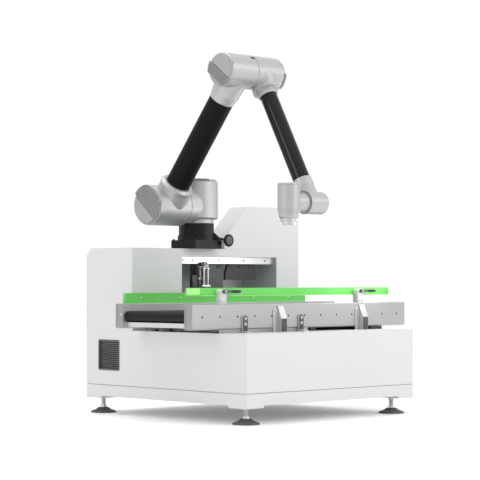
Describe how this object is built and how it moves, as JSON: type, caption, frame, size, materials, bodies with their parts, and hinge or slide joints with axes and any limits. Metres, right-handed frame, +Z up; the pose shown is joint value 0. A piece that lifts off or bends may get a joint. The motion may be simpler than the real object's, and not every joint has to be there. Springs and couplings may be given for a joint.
{
  "type": "robotic case packer",
  "caption": "White case packing machine: a belt conveyor with green guide rails, a folding bay and a jointed arm on a sheet-metal cabinet.",
  "frame": {"origin": "on the floor under the middle of the machine's whole extent", "axes": "+X along the conveyor to the right, +Y from the front face to the rear, +Z up"},
  "size_m": [1.52, 1.278, 1.808],
  "materials": {
    "white_sheet": "satin",
    "steel": "satin",
    "black_rubber": "matte",
    "vent_grey": "matte",
    "flap_black": "satin",
    "cylinder_grey": "satin",
    "channel_aluminium": "satin",
    "belt_black": "matte",
    "bed_steel": "satin",
    "beam_aluminium": "satin",
    "bracket_grey": "satin",
    "rail_green": "gloss",
    "bracket_white": "satin",
    "lever_black": "matte",
    "arm_black": "matte",
    "arm_silver": "satin",
    "cap_grey": "matte",
    "tube_black": "gloss",
    "flange_steel": "satin"
  },
  "bodies": {
    "frame": {"base_tray": "white_sheet", "foot_pad_front_left": "black_rubber", "foot_pad_front_right": "black_rubber", "foot_pad_rear_left": "black_rubber", "foot_pad_rear_right": "black_rubber", "foot_stem_front_left": "steel", "foot_stem_front_right": "steel", "foot_stem_rear_left": "steel", "foot_stem_rear_right": "steel", "base_cabinet": "white_sheet", "vent_grille": "vent_grey", "upper_cabinet": "white_sheet", "hood": "white_sheet", "cross_beam": "steel", "flap_plate_left": "flap_black", "flap_plate_right": "flap_black", "flap_cylinder": "cylinder_grey", "front_channel": "channel_aluminium", "rear_channel": "channel_aluminium", "belt": "belt_black", "slider_bed": "bed_steel", "left_end_roller": "steel", "right_end_roller": "steel", "return_tray": "steel", "support_beam_left": "beam_aluminium", "support_beam_middle": "beam_aluminium", "support_beam_right": "beam_aluminium", "slotted_tab_left": "bracket_grey", "slotted_tab_right": "bracket_grey", "gusset_bracket_left": "bracket_grey", "gusset_bracket_right": "bracket_grey", "front_guide_rail": "rail_green", "rear_guide_rail": "rail_green", "rail_bracket_left": "bracket_white", "rail_bracket_right": "bracket_white", "clamp_lever_left": "lever_black", "clamp_lever_right": "lever_black", "arm_base_plate": "arm_black", "arm_base": "arm_black", "lock_knob": "lever_black"},
    "turret": {"turret": "arm_silver", "turret_cap": "cap_grey"},
    "upper_arm": {"shoulder_housing": "arm_silver", "shoulder_cap": "cap_grey", "upper_arm_tube": "tube_black", "elbow_housing": "arm_silver", "elbow_cap": "cap_grey"},
    "forearm": {"elbow_head": "arm_silver", "elbow_head_cap": "cap_grey", "forearm_tube": "tube_black", "wrist_housing": "arm_silver", "wrist_cap": "cap_grey"},
    "tool_head": {"tool_head": "arm_silver"},
    "tool_flange": {"tool_flange": "flange_steel"}
  },
  "joints": [
    {"name": "base_turn", "type": "hinge", "parent": "frame", "child": "turret", "pos_m": [-0.13, 0.307, 0.981], "axis": [0, 0, 1], "range_deg": [-90, 90]},
    {"name": "shoulder", "type": "hinge", "parent": "turret", "child": "upper_arm", "pos_m": [-0.25, 0.307, 1.071], "axis": [1, 0, 0], "range_deg": [-40, 20]},
    {"name": "elbow", "type": "hinge", "parent": "upper_arm", "child": "forearm", "pos_m": [-0.265, -0.224, 1.723], "axis": [-1, 0, 0], "range_deg": [-50, 60]},
    {"name": "wrist", "type": "hinge", "parent": "forearm", "child": "tool_head", "pos_m": [-0.234, -0.584, 1.061], "axis": [1, 0, 0], "range_deg": [-100, 100]},
    {"name": "tool_turn", "type": "hinge", "parent": "tool_head", "child": "tool_flange", "pos_m": [-0.336, -0.584, 0.967], "axis": [0, 0, 1], "range_deg": [-180, 180]}
  ]
}
